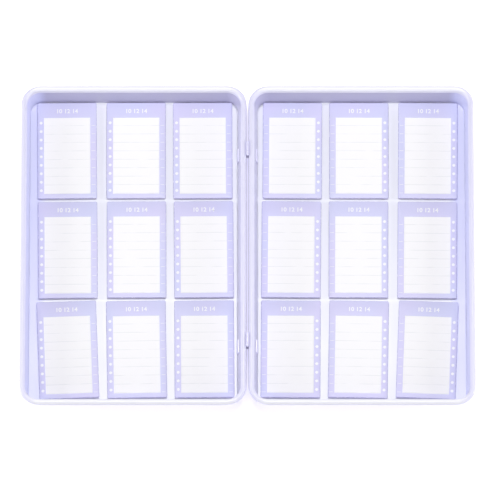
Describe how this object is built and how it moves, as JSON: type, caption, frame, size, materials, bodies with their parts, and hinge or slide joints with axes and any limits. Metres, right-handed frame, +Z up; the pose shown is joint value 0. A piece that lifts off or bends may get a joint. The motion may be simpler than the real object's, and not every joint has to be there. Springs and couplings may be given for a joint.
{
  "type": "false eyelash case",
  "caption": "Flat hinged metal case of two equal shallow trays with rolled rims, lying open, with removable rectangular magnetic lash tiles in a grid on each tray's floor.",
  "frame": {"origin": "middle of the underside of the open case, on the hinge line", "axes": "+X from the hinge line over the base tray, +Y to the far end of the trays, +Z up; the lid tray lies at -X"},
  "size_m": [0.4332, 0.3272, 0.0265],
  "materials": {
    "lacquered_tinplate": "satin lavender lacquer on tinplate",
    "hinge_steel": "lacquered bright steel",
    "tile_board": "printed lavender border round a white window",
    "magnet_sheet": "matt black magnetic rubber sheet"
  },
  "bodies": {
    "base": {"base_tray": "lacquered_tinplate", "base_leaf_far": "hinge_steel", "base_leaf_near": "hinge_steel", "hinge_pin_far": "hinge_steel", "hinge_pin_near": "hinge_steel"},
    "lid": {"lid_tray": "lacquered_tinplate", "lid_leaf_far": "hinge_steel", "lid_leaf_near": "hinge_steel"},
    "tile_base_r1c3": {"tile_base_r1c3": "tile_board", "magnet_base_r1c3": "magnet_sheet"},
    "tile_base_r1c2": {"tile_base_r1c2": "tile_board", "magnet_base_r1c2": "magnet_sheet"},
    "tile_base_r1c1": {"tile_base_r1c1": "tile_board", "magnet_base_r1c1": "magnet_sheet"},
    "tile_base_r2c3": {"tile_base_r2c3": "tile_board", "magnet_base_r2c3": "magnet_sheet"},
    "tile_base_r2c2": {"tile_base_r2c2": "tile_board", "magnet_base_r2c2": "magnet_sheet"},
    "tile_base_r2c1": {"tile_base_r2c1": "tile_board", "magnet_base_r2c1": "magnet_sheet"},
    "tile_base_r3c3": {"tile_base_r3c3": "tile_board", "magnet_base_r3c3": "magnet_sheet"},
    "tile_base_r3c2": {"tile_base_r3c2": "tile_board", "magnet_base_r3c2": "magnet_sheet"},
    "tile_base_r3c1": {"tile_base_r3c1": "tile_board", "magnet_base_r3c1": "magnet_sheet"},
    "tile_lid_r1c3": {"tile_lid_r1c3": "tile_board", "magnet_lid_r1c3": "magnet_sheet"},
    "tile_lid_r1c2": {"tile_lid_r1c2": "tile_board", "magnet_lid_r1c2": "magnet_sheet"},
    "tile_lid_r1c1": {"tile_lid_r1c1": "tile_board", "magnet_lid_r1c1": "magnet_sheet"},
    "tile_lid_r2c3": {"tile_lid_r2c3": "tile_board", "magnet_lid_r2c3": "magnet_sheet"},
    "tile_lid_r2c2": {"tile_lid_r2c2": "tile_board", "magnet_lid_r2c2": "magnet_sheet"},
    "tile_lid_r2c1": {"tile_lid_r2c1": "tile_board", "magnet_lid_r2c1": "magnet_sheet"},
    "tile_lid_r3c3": {"tile_lid_r3c3": "tile_board", "magnet_lid_r3c3": "magnet_sheet"},
    "tile_lid_r3c2": {"tile_lid_r3c2": "tile_board", "magnet_lid_r3c2": "magnet_sheet"},
    "tile_lid_r3c1": {"tile_lid_r3c1": "tile_board", "magnet_lid_r3c1": "magnet_sheet"}
  },
  "joints": [
    {"name": "lid_hinge", "type": "hinge", "parent": "base", "child": "lid", "pos_m": [0, 0, 0.0252], "axis": [0, -1, 0], "range_deg": [-180, 0]},
    {"name": "lift_base_r1c3", "type": "slide", "parent": "base", "child": "tile_base_r1c3", "axis": [0, 0, 1], "range_m": [0, 0.03]},
    {"name": "lift_base_r1c2", "type": "slide", "parent": "base", "child": "tile_base_r1c2", "axis": [0, 0, 1], "range_m": [0, 0.03]},
    {"name": "lift_base_r1c1", "type": "slide", "parent": "base", "child": "tile_base_r1c1", "axis": [0, 0, 1], "range_m": [0, 0.03]},
    {"name": "lift_base_r2c3", "type": "slide", "parent": "base", "child": "tile_base_r2c3", "axis": [0, 0, 1], "range_m": [0, 0.03]},
    {"name": "lift_base_r2c2", "type": "slide", "parent": "base", "child": "tile_base_r2c2", "axis": [0, 0, 1], "range_m": [0, 0.03]},
    {"name": "lift_base_r2c1", "type": "slide", "parent": "base", "child": "tile_base_r2c1", "axis": [0, 0, 1], "range_m": [0, 0.03]},
    {"name": "lift_base_r3c3", "type": "slide", "parent": "base", "child": "tile_base_r3c3", "axis": [0, 0, 1], "range_m": [0, 0.03]},
    {"name": "lift_base_r3c2", "type": "slide", "parent": "base", "child": "tile_base_r3c2", "axis": [0, 0, 1], "range_m": [0, 0.03]},
    {"name": "lift_base_r3c1", "type": "slide", "parent": "base", "child": "tile_base_r3c1", "axis": [0, 0, 1], "range_m": [0, 0.03]},
    {"name": "lift_lid_r1c3", "type": "slide", "parent": "lid", "child": "tile_lid_r1c3", "axis": [0, 0, 1], "range_m": [0, 0.03]},
    {"name": "lift_lid_r1c2", "type": "slide", "parent": "lid", "child": "tile_lid_r1c2", "axis": [0, 0, 1], "range_m": [0, 0.03]},
    {"name": "lift_lid_r1c1", "type": "slide", "parent": "lid", "child": "tile_lid_r1c1", "axis": [0, 0, 1], "range_m": [0, 0.03]},
    {"name": "lift_lid_r2c3", "type": "slide", "parent": "lid", "child": "tile_lid_r2c3", "axis": [0, 0, 1], "range_m": [0, 0.03]},
    {"name": "lift_lid_r2c2", "type": "slide", "parent": "lid", "child": "tile_lid_r2c2", "axis": [0, 0, 1], "range_m": [0, 0.03]},
    {"name": "lift_lid_r2c1", "type": "slide", "parent": "lid", "child": "tile_lid_r2c1", "axis": [0, 0, 1], "range_m": [0, 0.03]},
    {"name": "lift_lid_r3c3", "type": "slide", "parent": "lid", "child": "tile_lid_r3c3", "axis": [0, 0, 1], "range_m": [0, 0.03]},
    {"name": "lift_lid_r3c2", "type": "slide", "parent": "lid", "child": "tile_lid_r3c2", "axis": [0, 0, 1], "range_m": [0, 0.03]},
    {"name": "lift_lid_r3c1", "type": "slide", "parent": "lid", "child": "tile_lid_r3c1", "axis": [0, 0, 1], "range_m": [0, 0.03]}
  ]
}
